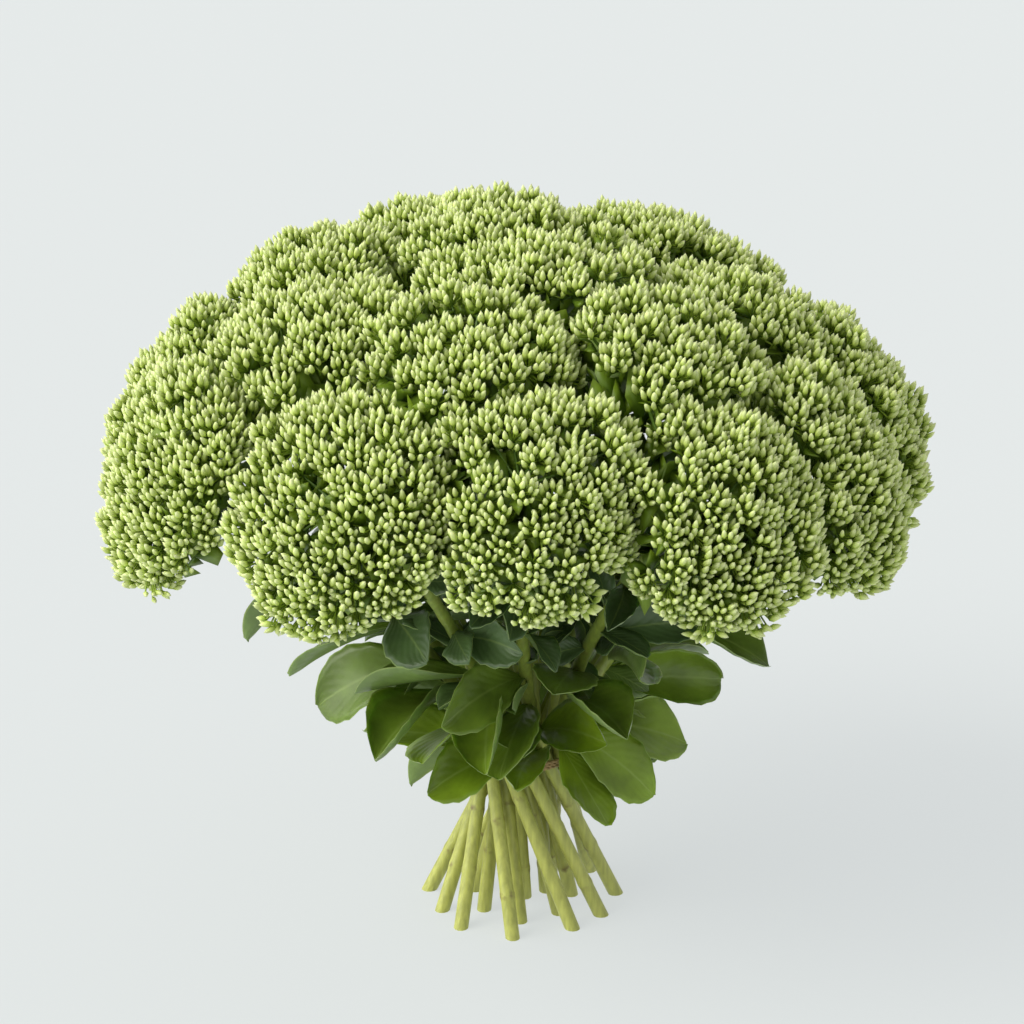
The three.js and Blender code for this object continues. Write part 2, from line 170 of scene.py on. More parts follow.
class BunchColours(bpy.types.PropertyGroup):
    """Colours of the plant and the twine."""
    bud_tip: colour_property("Bud tip", "Pale tip of a closed bud", "#E9F1B8")
    bud_side: colour_property("Bud side", "Middle of a closed bud", "#C4D66C")
    # The bud base is the bud's own green, and is also painted darker as shade deep among the buds.
    bud_base: colour_property("Bud base", "Green base of a bud", "#86A426")
    stalk: colour_property("Stalk", "Thin stalks just under the buds", "#93AC2E")
    # Painted shade: the branch colour darkens the stalks, branches and bract roots deep inside a head for the
    # shade there, not for age.
    branch: colour_property("Branch", "Older branches deep inside a head", "#5A7A22")
    stem_low: colour_property("Stem, low", "Stem near its cut end", "#B2B65C")
    stem_high: colour_property("Stem, high", "Stem among the leaves", "#86983E")
    stem_scar: colour_property("Stem scar", "Dry rings where leaves were stripped", "#7A6A3C")
    leaf_bright: colour_property("Leaf, low", "Yellow-green leaves low on the stem", "#7B961F")
    leaf_blue: colour_property("Leaf, high", "Blue-green leaves with a waxy bloom", "#536C3E")
    leaf_under: colour_property("Leaf underside", "Paler, greyer lower side of a leaf", "#778E56")
    leaf_edge: colour_property("Leaf edge", "Pale rim and midrib of a leaf", "#A9C06C")
    twine: colour_property("Twine", "Dry plant-fibre twine", "#A98F5F")


class StageSettings(bpy.types.PropertyGroup):
    """The studio that the bunch is shown in."""
    floor: colour_property("Floor", "Plain pale floor", "#7B7D7C")
    floor_glow: number_property("Floor glow", "Light that comes up through the floor", 0.72)
    camera_distance: length_property("Camera distance", "From the camera to the point it looks at", 1500)
    camera_height: number_property("Camera elevation", "Angle above level", radians(20), subtype="ANGLE")
    lens: number_property("Lens", "Focal length in millimetres", 99.5)
    key_power: number_property("Key light", "Strength of the soft light at the upper left", 1.35)
    window_power: number_property("Window light", "Strength of the broad light at the left", 2.15)
    sky: number_property("Room light", "Strength of the light from all round", 0.56)


def set_inputs(tree, node, inputs):
    """Sets inputs, by name or number, to values, or links them to sockets or nodes' first outputs in use."""
    for key, value in inputs.items():
        socket = node.inputs[key]
        if isinstance(value, bpy.types.Node):
            value = next(output for output in value.outputs if output.enabled)
        if isinstance(value, bpy.types.NodeSocket):
            tree.links.new(value, socket)
        else:
            socket.default_value = (*value, 1) if socket.type == "RGBA" else value


def add_node(tree, kind, inputs=None, **settings):
    """Adds a node, sets its properties, and sets or links its inputs."""
    node = tree.nodes.new(kind)
    for name, value in settings.items():
        setattr(node, name, value)
    set_inputs(tree, node, inputs or {})
    return node


def new_geometry_tree(name, inputs):
    """Starts a Geometry Nodes tree with named inputs, and gives the tree and its input node."""
    tree = bpy.data.node_groups.new(name, "GeometryNodeTree")
    tree.interface.new_socket("Geometry", in_out="INPUT", socket_type="NodeSocketGeometry")
    tree.interface.new_socket("Geometry", in_out="OUTPUT", socket_type="NodeSocketGeometry")
    for label, kind in inputs.items():
        tree.interface.new_socket(label, in_out="INPUT", socket_type=kind)
    return tree, tree.nodes.new("NodeGroupInput")


def end_tree(tree, geometry, material=None):
    """Makes a tree's instances real, gives the result any material named, and puts it out."""
    geometry = add_node(tree, "GeometryNodeRealizeInstances", {"Geometry": geometry})
    if material:
        geometry = add_node(tree, "GeometryNodeSetMaterial", {"Geometry": geometry, "Material": material})
    add_node(tree, "NodeGroupOutput", {"Geometry": geometry})
    return tree


def add_object(name, data):
    """Adds an object to the scene."""
    added = bpy.data.objects.new(name, data)
    bpy.context.scene.collection.objects.link(added)
    return added


def grow(tree, base, values):
    """Runs a Geometry Nodes tree on a mesh, and gives the result as a plain mesh."""
    source = add_object("growing", base)
    modifier = source.modifiers.new("grow", "NODES")
    modifier.node_group = tree
    for item in tree.interface.items_tree:
        if item.in_out == "INPUT" and item.name in values:
            modifier[item.identifier] = values[item.name]
    depsgraph = bpy.context.evaluated_depsgraph_get()
    mesh = bpy.data.meshes.new_from_object(source.evaluated_get(depsgraph))
    bpy.data.objects.remove(source)
    bpy.data.meshes.remove(base)
    if not mesh.polygons:
        raise RuntimeError(f"{tree.name} made no faces")
    return mesh


def mesh_with(name, points, edges=(), faces=(), **attributes):
    """A mesh from points in millimetres, with float or vector attributes on its points."""
    mesh = bpy.data.meshes.new(name)
    mesh.from_pydata([tuple(Vector(p) * MM) for p in points], edges, faces)
    for label, values in attributes.items():
        flat = np.array(values, dtype=np.float32)
        kind, field = ("FLOAT_VECTOR", "vector") if flat.ndim == 2 else ("FLOAT", "value")
        layer = mesh.attributes.new(label, kind, "POINT")
        layer.data.foreach_set(field, flat.ravel())
    return mesh


def line_mesh(points, **attributes):
    """Points joined in a line."""
    return mesh_with("line", points, [(i, i + 1) for i in range(len(points) - 1)], **attributes)


def finish_piece(name, mesh, node):
    """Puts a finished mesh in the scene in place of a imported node."""
    mesh.name = name
    piece = add_object(name, mesh)
    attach(piece, "root")
    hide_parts(node)
    return piece


# Layout of the stems, heads and leaves

def vary(index, kind):
    """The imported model's steady spread of values from -1 to 1."""
    share = 0.618034 * (index + 1) + 0.754878 * (kind + 1)
    return 2 * (share - floor(share)) - 1


def polar(radius, degrees, z=0.0):
    return Vector((radius * cos(radians(degrees)), radius * sin(radians(degrees)), z))


def mix(a, b, share):
    return a + (b - a) * share


class Arc:
    """The stem's way from the tie to its head: a cubic Bezier curve."""

    def __init__(self, *corners):
        self.corners = corners

    def point(self, t):
        a, b, c, d = self.corners
        u = 1 - t
        return a * u ** 3 + b * (3 * u * u * t) + c * (3 * u * t * t) + d * t ** 3

    def tangent(self, t):
        a, b, c, d = self.corners
        u = 1 - t
        return ((b - a) * (u * u) + (c - b) * (2 * u * t) + (d - c) * (t * t)).normalized()


def head_place(turn, down, proud):
    t = radians(down)
    out = polar(1, turn)
    facing = out * (sin(t) / DOME["half_width"])
    facing.z = cos(t) / DOME["height"]
    facing.normalize()
    level = out * (DOME["half_width"] * sin(t))
    level.x += DOME["centre_x"]
    level.z = DOME["centre_z"] + DOME["height"] * cos(t)
    level += facing * (proud - HEAD["crown"])
    return {"turn": turn, "facing": facing, "level": level, "seat": level - facing * HEAD["underside"]}


def pressed_radius(turn, outside):
    def apart(stem):
        return abs((stem["tie_turn"] - turn + 540) % 360 - 180)
    nearest = min(outside, key=apart)
    off = radians(apart(nearest))
    sideways = SIDEWAYS_LEAN * nearest["tie_at"] * sin(off)
    return nearest["tie_at"] * cos(off) - sqrt(PRESSED ** 2 - sideways ** 2)


def lay_out_stems():
    """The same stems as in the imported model, each with its foot, its arc, its head and its leaves."""
    stems = []
    outside = None
    for ring in RINGS:
        placed = []
        for k, head in enumerate(ring["heads"]):
            tie_turn = ring["first_turn"] + 360 / len(ring["heads"]) * k
            tie_at = pressed_radius(tie_turn, outside) if outside else TIE_RING
            foot_turn, foot_at = ring["feet"][k]
            crossing = polar(tie_at, tie_turn, STEM["tie_height"])
            foot = polar(foot_at, foot_turn)
            slope = (crossing - foot).normalized()
            place = head_place(*head)
            top = place["seat"] - place["facing"] * STEM["seat_gap"]
            arc = Arc(crossing, crossing + slope * STEM["straight_reach"],
                      top - place["facing"] * STEM["head_reach"], top)
            placed.append({"ring": ring, "index": len(stems) + k, "tie_turn": tie_turn, "tie_at": tie_at,
                           "foot": foot, "slope": slope, "arc": arc, "head": place})
        stems += placed
        outside = placed
    return stems


def stem_radius(z):
    if z < STEM["tie_height"]:
        return mix(STEM["foot_radius"], STEM["tie_radius"], z / STEM["tie_height"])
    share = (z - STEM["tie_height"]) / (DOME["centre_z"] - STEM["tie_height"])
    return mix(STEM["tie_radius"], STEM["top_radius"], min(1, share))


def leaf_frame(stem, along, turn, pitch, roll):
    """A leaf's root, the way it runs, its upper side and its width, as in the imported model."""
    root = stem["arc"].point(along)
    growth = stem["arc"].tangent(along)
    out = Vector((root.x, root.y, 0))
    out = (out - growth * out.dot(growth)).normalized()
    side = Quaternion(growth, radians(turn)) @ out
    p = radians(pitch)
    run = growth * cos(p) + side * sin(p)
    upper = Quaternion(run, radians(roll)) @ (growth * sin(p) - side * cos(p))
    return {"root": root, "run": run, "upper": upper, "across": run.cross(upper)}


def leaf_middle(leaf, t):
    arch = radians(LEAF["arch"])
    forward = leaf["length"] * sin(arch * t) / arch
    drop = leaf["length"] * (1 - cos(arch * t)) / arch
    return leaf["root"] + leaf["run"] * forward - leaf["upper"] * drop


def side_leaves(stem):
    for along, length, turn, pitch, roll in SIDE_LEAVES.get(stem["index"] + 1, []):
        yield along, length, turn, lambda turned, pitch=pitch: pitch, roll


def usual_leaves(stem):
    index = stem["index"]
    for k, (along, usual_length) in enumerate(stem["ring"]["leaves"]):
        def pitch_at(turn, extra=9 * vary(index * 5 + k, 4)):
            aside = min(1, sqrt(2) * abs(sin(radians(turn) / 2)))
            return mix(LEAF["pitch_out"], LEAF["pitch_aside"], aside) + extra
        length = usual_length * (1 + 0.08 * vary(index * 7 + k, 2))
        turn = LEAF["turns"][k] + 14 * vary(index * 3 + k, 3)
        yield along, length, turn, pitch_at, LEAF["roll"] * vary(index * 4 + k, 5)


def solid_points(node):
    """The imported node's corners in millimetres."""
    return np.array([v.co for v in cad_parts[node].data.vertices]) / MM


def grown_leaves(stem, node):
    """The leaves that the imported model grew: of each leaf's places, the one whose tip is in the solid."""
    solid = solid_points(node)
    leaves = []
    for along, length, turn, pitch_at, roll in [*side_leaves(stem), *usual_leaves(stem)]:
        for turn_by, pitch_by in LEAF["bends"]:
            leaf = leaf_frame(stem, along, turn + turn_by, pitch_at(turn + turn_by) + pitch_by, roll)
            leaf.update(length=length, along=along)
            tip = np.array(leaf_middle(leaf, 1))
            if np.linalg.norm(solid - tip, axis=1).min() < TIP_MATCH:
                leaves.append(leaf)
                break
    return leaves


def young_leaves(stem, node, draw):
    """Small leaves high on a stem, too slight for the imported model, kept within their stem's box there."""
    solid = solid_points(node)
    low, high = solid.min(axis=0) - YOUNG["past_box"], solid.max(axis=0) + YOUNG["past_box"]
    leaves = []
    for k in range(YOUNG["tries"]):
        along = YOUNG["lowest"] + YOUNG["step"] * k
        turn = GOLDEN_ANGLE * k + draw.uniform(-30, 30)
        leaf = leaf_frame(stem, along, turn, draw.uniform(*YOUNG["pitch"]), draw.uniform(*YOUNG["roll"]))
        leaf.update(length=draw.uniform(*YOUNG["length"]), along=along, young=True)
        spots = np.array([leaf_middle(leaf, 1), leaf_middle(leaf, 0.6)])
        if (spots > low).all() and (spots < high).all():
            leaves.append(leaf)
    return leaves


# Flower heads

def direction(from_crown, turn):
    return polar(sin(radians(from_crown)), turn, cos(radians(from_crown)))


def territory(head, heads):
    """The planes half way to each neighbour, as pairs of a direction and a distance."""
    ways = [other["level"] - head["level"] for other in heads if other is not head]
    return [(way.normalized(), way.length / 2 - HEAD["gap"] / 2) for way in ways]


def on_envelope(way):
    """Where a way out of a head's middle meets the head's rounded envelope, and how it faces there."""
    radius, tall = HEAD["radius"], HEAD["crown"] if way.z > 0 else HEAD["underside"]
    facing = Vector((way.x / radius, way.y / radius, way.z / tall)).normalized()
    return Vector((way.x * radius, way.y * radius, way.z * tall)), facing


def give_way(point, planes, over=0):
    """Draws a point in towards its head's middle until it's at most so far over each plane."""
    for towards, limit in planes:
        reach = point.dot(towards)
        if reach > limit + over:
            point = point * ((limit + over) / reach)
    return point


def even_angles(count, farthest):
    """Angles from the crown's middle that share out a head's domed face evenly."""
    angles = np.radians(np.linspace(0, farthest, 400))
    tall = np.where(angles < pi / 2, HEAD["crown"], HEAD["underside"])
    strips = np.sin(angles) * np.hypot(HEAD["radius"] * np.cos(angles), tall * np.sin(angles))
    shares = np.cumsum(strips) / strips.sum()
    return np.degrees(np.interp((np.arange(count) + 0.5) / count, shares, angles)), strips.mean() * angles[-1]


def mounds_of(head, planes, spacing, draw):
    """A head's bud clusters: their tops, the ways they face and the branches they grow on."""
    to_head = UP.rotation_difference(head["facing"])
    lobes = [direction(0, 0)]
    lobes += [direction(HEAD["lobe_angle"], 360 / HEAD["lobes"] * k + head["turn"])
              for k in range(HEAD["lobes"])]
    lifts = [draw.uniform(*MOUND["lift"]) for _ in lobes]
    area = tau * HEAD["radius"] * even_angles(1, RIM["end"])[1]
    count = round(area / (HEXAGONAL * spacing ** 2))
    mounds = []
    for k, angle in enumerate(even_angles(count, RIM["end"])[0]):
        way = direction(angle, GOLDEN_ANGLE * k + head["turn"])
        nearest = min(range(len(lobes)), key=lambda i: lobes[i].angle(way))
        share = max(0, 1 - (lobes[nearest].angle(way) / radians(HEAD["lobe_angle"] / 2)) ** 2)
        point, facing = on_envelope(way)
        rise = HEAD["cluster_rise"] + HEAD["lobe_rise"] * share + lifts[nearest] * (0.5 + 0.5 * share)
        point = to_head @ (point.normalized() * (point.length + rise))
        excess = max(point.dot(towards) - limit for towards, limit in planes)
        if excess >= MOUND["reach"]:
            continue
        if -MOUND["reach"] < excess < 0:
            # Mounds beside a gap between heads grow out into it, but less on the underside.
            inward = min(1, max(0, 0.5 + (to_head @ way).z))
            growth = MOUND["growth"] * min(-excess, excess + MOUND["reach"]) * min(1, angle / 60) * inward
            point = point * (1 + growth / HEAD["radius"])
        if excess > MOUND["pressed_from"]:
            point = give_way(point, planes, MOUND["overlap"])
            facing = (facing + UP).normalized()
        mounds.append({"top": point, "facing": to_head @ facing, "lobe": nearest, "angle": angle})
    return mounds, [to_head @ lobe for lobe in lobes]


class Skeleton:
    """Stalks as chains of points with a thickness, and buds or bracts on some of the points."""
    MARKS = ("radius", "tone", "young", "end", "size", "aim")

    def __init__(self):
        self.points, self.edges, self.marks = [], [], []

    # A point's young is 1 at a bud's foot and 0 at hubs and branches; the stalk colour uses it to paint shade
    # deep in a head.
    def add(self, point, radius, tone=0.5, young=0.0, end=0.0, size=1.0, aim=(0, 0, 1)):
        """Adds a point. Its end is BUD where a bud grows on it, BRACT for a bract, and 0 for neither."""
        self.points.append(point)
        self.marks.append((radius * MM, tone, young, end, size, tuple(aim)))
        return len(self.points) - 1

    def add_bract(self, root, aim, sizes, draw):
        """Adds a bract of a size drawn between two."""
        self.add(root, 0.5, draw.random(), 0.0, BRACT, draw.uniform(*sizes), aim)

    def branch(self, start, end, bow, thick, thin, steps):
        """A stalk from start to end that bows towards a third point."""
        for i in range(steps + 1):
            t = i / steps
            point = start * (1 - t) ** 2 + bow * (2 * t * (1 - t)) + end * t ** 2
            here = self.add(point, mix(thick, thin, t))
            if i:
                self.edges.append((here - 1, here))

    def mesh(self, name):
        return mesh_with(name, self.points, self.edges, **dict(zip(self.MARKS, zip(*self.marks))))


class Crowd:
    """Remembers where things are, so that no two share a place."""

    def __init__(self, spacing):
        self.spacing = spacing
        self.cells = {}

    def takes(self, point):
        """Tells whether a place is free, and keeps it if so."""
        home = tuple(floor(c / self.spacing) for c in point)
        for cell in itertools.product(*((c - 1, c, c + 1) for c in home)):
            if any((other - point).length_squared < self.spacing ** 2 for other in self.cells.get(cell, ())):
                return False
        self.cells.setdefault(home, []).append(point)
        return True


def head_skeleton(head, heads, crowds, sizes, draw):
    """Branches from the stem to the mounds of one head, and a stalk to each of its buds."""
    planes = territory(head, heads)
    mounds, lobes = mounds_of(head, planes, sizes.mound_spacing / MM, draw)
    level, facing = head["level"], head["facing"]
    skeleton = Skeleton()
    seat = head["seat"] - facing * BRANCH["seat_down"]
    forks = [level + give_way(lobe * BRANCH["fork_out"] - facing * BRANCH["fork_down"], planes)
             for lobe in lobes]
    for fork in forks:
        skeleton.branch(seat, fork, mix(seat, fork, 0.5) + facing * 2, *BRANCH["limb"], 4)
    for mound in mounds:
        rim = max(0, (mound["angle"] - RIM["start"]) / (RIM["end"] - RIM["start"]))
        top = level + mound["top"] + mound["facing"] * draw.uniform(-3.4 - 3 * rim, 1.8)
        if draw.random() < RIM["bare"] * rim or not crowds["mounds"].takes(top):
            continue
        top += mound["facing"] * RIM["longer"] * rim
        hub = top - mound["facing"] * (sizes.mound_depth / MM + RIM["deeper"] * rim)
        fork = forks[mound["lobe"]]
        skeleton.branch(fork, hub, mix(fork, hub, 0.6) - mound["facing"] * 3, *BRANCH["twig"], 3)
        grow_mound(skeleton, mound, top, hub, rim, crowds["buds"], sizes, draw)
    # Small leaves among the branches close the view through the head, as other shoots do in a real one.
    to_head = UP.rotation_difference(facing)
    for k, angle in enumerate(even_angles(BRACTS["inside"], 112)[0]):
        way = direction(angle, GOLDEN_ANGLE * k + 50 + head["turn"])
        inner = to_head @ on_envelope(way)[0]
        point = level + give_way(inner * draw.uniform(*BRACTS["depth"]), planes) - facing * 7
        flat = inner.cross(Vector([draw.uniform(-1, 1) for _ in range(3)])).normalized()
        aim = (flat + inner.normalized() * draw.uniform(0.0, 0.5)).normalized()
        skeleton.add_bract(point - aim * 8, aim, BRACTS["inside_size"], draw)
    # A collar of small leaves stands round the underside, where the gaps between heads open on it.
    for k in range(BRACTS["collar"]):
        way = to_head @ direction(draw.uniform(92, 112), 360 / BRACTS["collar"] * k + draw.uniform(-12, 12))
        point = level + give_way(way * BRACTS["collar_out"], planes) - facing * draw.uniform(4, 14)
        side = way.cross(facing).normalized() * draw.choice((-1, 1))
        aim = (side + way * draw.uniform(0.0, 0.6) - facing * 0.3).normalized()
        skeleton.add_bract(point - aim * 10, aim, BRACTS["collar_size"], draw)
    return skeleton


def grow_mound(skeleton, mound, top, hub, rim, crowd, sizes, draw):
    """The buds of one cluster, on stalks from its hub, with their tips on a rounded cap."""
    narrow, wide = BUDS["spread"]
    length, spread = sizes.bud_length / MM, narrow + (wide - narrow) * draw.random()
    cap = sizes.mound_radius / MM * draw.uniform(0.9, 1.12) * (1 + RIM["wider"] * rim)
    middle_of_cap = top - mound["facing"] * cap
    to_mound = UP.rotation_difference(mound["facing"])
    centre = skeleton.add(hub, BRANCH["under_hub"])
    for k in range(BRACTS["hub"]):
        aim = to_mound @ direction(draw.uniform(50, 85), 360 / BRACTS["hub"] * k + draw.uniform(0, 60))
        skeleton.add_bract(hub - mound["facing"] * draw.uniform(0, 5), aim, BRACTS["hub_size"], draw)
    for k in range(sizes.buds_in_mound):
        if draw.random() < BUDS["missing"] + RIM["fewer"] * rim:
            continue
        from_axis = spread * sqrt((k + 0.5) / sizes.buds_in_mound) + draw.uniform(-4, 4)
        way = to_mound @ direction(from_axis, GOLDEN_ANGLE * k + 40 * draw.random())
        size = draw.uniform(*BUDS["size"])
        tip = middle_of_cap + way * (cap + draw.uniform(*BUDS["uneven"]))
        aim = way * 0.5 + mound["facing"] * 0.25 + UP * 0.5
        astray = Vector([draw.uniform(-BUDS["astray"], BUDS["astray"]) for _ in range(3)])
        aim = (aim + astray).normalized()
        if crowd.takes(tip - aim * (0.5 * length * size)):
            base = tip - aim * (length * size)
            bud = skeleton.add(base, sizes.stalk_thickness / MM / 2, draw.random(), 1.0, BUD, size, aim)
            skeleton.edges.append((centre, bud))


def pointed_shape(name, rings, tip):
    """A smooth closed shape of unit length, from a flat foot through rings of as many points to a tip."""
    n = len(rings[0])
    points = [*itertools.chain(*rings), tip]
    last = len(points) - 1
    faces = [[n * r + k, n * r + (k + 1) % n, n * (r + 1) + (k + 1) % n, n * (r + 1) + k]
             for r in range(len(rings) - 1) for k in range(n)]
    faces += [[last - n + k, last - n + (k + 1) % n, last] for k in range(n)]
    faces.append(list(reversed(range(n))))
    mesh = mesh_with(name, [p / MM for p in points], faces=faces, along=[p.z for p in points])
    mesh.shade_smooth()
    return mesh


def bud_mesh():
    """One closed bud of unit length and width: five-sided, widest near its middle, with a sharp point."""
    rings = [[polar(radius, 72 * k, z) for k in range(5)]
             for z, radius in ((0.0, 0.2), (0.38, 0.5), (0.74, 0.33))]
    return pointed_shape("one_bud", rings, Vector((0, 0, 1)))


def bract_mesh():
    """One bract of unit length: a small cupped leaf with some thickness."""
    rings = [[Vector((-half, rise, z)), Vector((0, -0.03, z)), Vector((half, rise, z)), Vector((0, 0.03, z))]
             for z, half, rise in ((0.0, 0.06, 0.0), (0.55, 0.32, 0.1))]
    return pointed_shape("one_bract", rings, Vector((0, -0.1, 1)))


def head_tree(shapes, materials):
    """Buds and bracts on the marked points of a skeleton, and round stalks along its edges."""
    tree, given = new_geometry_tree("grow_flower_head", {
        "Bud length": "NodeSocketFloat", "Bud width": "NodeSocketFloat", "Bract length": "NodeSocketFloat",
        "Stalk sides": "NodeSocketInt", "Seed": "NodeSocketInt"})
    asked = given.outputs
    end, size, radius, aim = (
        add_node(tree, "GeometryNodeInputNamedAttribute", {"Name": name}, data_type=kind)
        for name, kind in (("end", "FLOAT"), ("size", "FLOAT"), ("radius", "FLOAT"), ("aim", "FLOAT_VECTOR")))
    spin = add_node(tree, "FunctionNodeRandomValue", {"Max": (0.0, 0.0, tau), "Seed": asked["Seed"]},
                    data_type="FLOAT_VECTOR")
    turned = add_node(tree, "FunctionNodeAlignRotationToVector", {"Vector": aim}, axis="Z")
    turned = add_node(tree, "FunctionNodeRotateRotation", {"Rotation": turned, "Rotate By": spin},
                      rotation_space="LOCAL")
    whole = add_node(tree, "GeometryNodeJoinGeometry")
    kinds = ((BUD, "Bud width", "Bud length"), (BRACT, "Bract length", "Bract length"))
    for (number, across, along), shape, material in zip(kinds, shapes, materials):
        measure = add_node(tree, "ShaderNodeCombineXYZ",
                           {"X": asked[across], "Y": asked[across], "Z": asked[along]})
        marked = add_node(tree, "FunctionNodeCompare", {"A": end, "B": number, "Epsilon": 0.1},
                          data_type="FLOAT", operation="EQUAL")
        scale = add_node(tree, "ShaderNodeVectorMath", {0: measure, "Scale": size}, operation="SCALE")
        info = add_node(tree, "GeometryNodeObjectInfo", {"Object": shape})
        grown = add_node(tree, "GeometryNodeInstanceOnPoints", {
            "Points": given, "Selection": marked, "Instance": info.outputs["Geometry"],
            "Rotation": turned, "Scale": scale})
        grown = add_node(tree, "GeometryNodeRealizeInstances", {"Geometry": grown})
        grown = add_node(tree, "GeometryNodeSetMaterial", {"Geometry": grown, "Material": material})
        set_inputs(tree, whole, {"Geometry": grown})
    lines = add_node(tree, "GeometryNodeMeshToCurve", {"Mesh": given})
    ring = add_node(tree, "GeometryNodeCurvePrimitiveCircle",
                    {"Resolution": asked["Stalk sides"], "Radius": 1.0})
    stalks = add_node(tree, "GeometryNodeCurveToMesh",
                      {"Curve": lines, "Profile Curve": ring, "Scale": radius})
    stalks = add_node(tree, "GeometryNodeSetMaterial", {"Geometry": stalks, "Material": materials[-1]})
    set_inputs(tree, whole, {"Geometry": stalks})
    return end_tree(tree, whole)


def new_material(name, roughness):
    material = bpy.data.materials.new(name)
    material.use_nodes = True
    tree = material.node_tree
    shader = tree.nodes["Principled BSDF"]
    set_inputs(tree, shader, {"Roughness": roughness})
    return material, tree, shader


def graded(tree, attribute, *stops):
    """A colour that goes through stops, each a place and a colour, as a mesh's attribute goes from 0 to 1."""
    value = add_node(tree, "ShaderNodeAttribute", attribute_name=attribute)
    ramp = add_node(tree, "ShaderNodeValToRGB", {"Fac": value.outputs["Fac"]})
    marks = ramp.color_ramp.elements
    for number, (place, colour) in enumerate(stops):
        mark = marks.new(place) if 0 < number < len(stops) - 1 else marks[-1 if number else 0]
        mark.position, mark.color = place, (*colour, 1)
    return ramp


def mottled(tree, colour, pattern, darkest, lightest, low=0.0, high=1.0):
    """Darkens and lightens a colour by a pattern, as the pattern goes from low to high."""
    shade = add_node(tree, "ShaderNodeMapRange", {
        "Value": pattern, "From Min": low, "From Max": high, "To Min": darkest, "To Max": lightest})
    return add_node(tree, "ShaderNodeHueSaturation", {"Color": colour, "Value": shade})


def bud_material(colours):
    """Stonecrop bud: a waxy, slightly see-through skin, pale at the tip and green at the base."""
    material, tree, shader = new_material("stonecrop_bud", 0.5)
    # The pale tip and green base are the bud's own colours; the darker base is also painted shade between the
    # buds.
    skin = graded(tree, "along", (0, colours.bud_base), (0.4, colours.bud_side), (1, colours.bud_tip))
    tone = add_node(tree, "ShaderNodeAttribute", attribute_name="tone")
    set_inputs(tree, shader, {
        "Base Color": mottled(tree, skin, tone.outputs["Fac"], 0.8, 1.12), "Subsurface Weight": 0.1,
        "Subsurface Radius": (0.8, 1.0, 0.35), "Subsurface Scale": 0.0016, "Specular IOR Level": 0.35})
    return material


def bract_material(colours):
    """Stonecrop bract: a small fleshy leaf, smooth, with its root painted dark green as the shade under the
    buds.
    """
    material, tree, shader = new_material("stonecrop_bract", 0.45)
    # Painted shade: the bract is dark at its root and lighter towards its tip.
    skin = graded(tree, "along", (0, colours.branch), (0.9, colours.leaf_bright))
    set_inputs(tree, shader, {"Base Color": skin})
    return material


def stalk_material(colours):
    """Stonecrop stalk: smooth and juicy, bright green under the buds, and painted darker towards the hubs and
    branches deep in the head as shade there.
    """
    material, tree, shader = new_material("stonecrop_stalk", 0.48)
    # Painted shade: the stalks darken from each bud's foot towards the hubs and branches in the middle of the
    # head.
    skin = graded(tree, "young", (0, colours.branch), (1, colours.stalk))
    place = add_node(tree, "ShaderNodeTexCoord")
    # Its patches of lighter and darker green are about 11 mm long.
    cloud = add_node(tree, "ShaderNodeTexNoise", {"Vector": place.outputs["Object"], "Scale": 90.0})
    set_inputs(tree, shader, {"Base Color": mottled(tree, skin, cloud, 0.75, 1.2)})
    return material


# Leafy stems

def leaf_outline(t):
    return max(0.1, sin(pi * t ** 1.45) ** 0.7)


def leaf_surface(leaf, draw, sizes):
    """Points of one leaf's two sides, and for each its place across and along the blade and its side."""
    rows, columns = YOUNG["grid"] if leaf.get("young") else LEAF["grid"]
    length, thick = leaf["length"], sizes.leaf_thickness / MM
    first, ripple, start = draw.randint(0, 2), draw.uniform(0.6, 2.4), draw.uniform(0, tau)
    fold, slim = draw.uniform(0.5, 2.6), draw.uniform(0.8, 1.0)
    twist, curl = draw.uniform(-0.95, 0.95), length * draw.uniform(-0.16, 0.1)
    points, spots, sides = [], [], []
    for side in (1, -1):
        for i in range(rows):
            t = mix(0.015, 1, 1 - (1 - i / (rows - 1)) ** 1.5)
            bend = radians(LEAF["arch"]) * t
            turned = Quaternion(leaf["run"], twist * t)
            upper = turned @ (leaf["upper"] * cos(bend) + leaf["run"] * sin(bend))
            across = turned @ leaf["across"]
            middle = leaf_middle(leaf, t) - upper * (curl * t ** 2)
            width = LEAF["width_share"] * length * slim * leaf_outline(t) if i < rows - 1 else 1.2
            reach = sizes.tooth_depth / MM * min(1, max(0, (t - 0.3) / 0.2)) * (1 - t ** 6)
            for j in range(columns):
                s = -1 + 2 * j / (columns - 1)
                tooth = reach * ((i + first + (s > 0)) % 3) / 2
                rise = LEAF["cup"] * width * fold * abs(s) ** 1.7
                wave = ripple * sin(7 * t + start + (2 if s > 0 else 0)) * abs(s) ** 3 * min(1, 3 * t)
                body = 0.5 * thick * (1 - abs(s) ** 4) ** 0.5 * min(1, 8 * (1.02 - t)) + 0.12
                groove = 0.4 * exp(-(s / 0.12) ** 2) * (1 - t)
                point = middle + across * (s * (width + tooth) * cos(0.35 * abs(s) * fold))
                points.append(point + upper * (rise + wave + side * body - groove))
                spots.append((0.5 + 0.5 * s, t))
                sides.append(0.0 if side > 0 else 1.0)
    return points, spots, sides, rows, columns


def leaf_faces(first, rows, columns):
    """Quads of the two sides, and a rim that joins them."""
    def at(side, i, j):
        return first + side * rows * columns + i * columns + j
    faces = []
    for i in range(rows - 1):
        for j in range(columns - 1):
            faces.append((at(0, i, j), at(0, i, j + 1), at(0, i + 1, j + 1), at(0, i + 1, j)))
            faces.append((at(1, i, j), at(1, i + 1, j), at(1, i + 1, j + 1), at(1, i, j + 1)))
    border = [(0, j) for j in range(columns)] + [(i, columns - 1) for i in range(1, rows)]
    border += [(rows - 1, j) for j in range(columns - 2, -1, -1)] + [(i, 0) for i in range(rows - 2, 0, -1)]
    for (i, j), (k, m) in zip(border, border[1:] + border[:1]):
        faces.append((at(0, i, j), at(1, i, j), at(1, k, m), at(0, k, m)))
    return faces


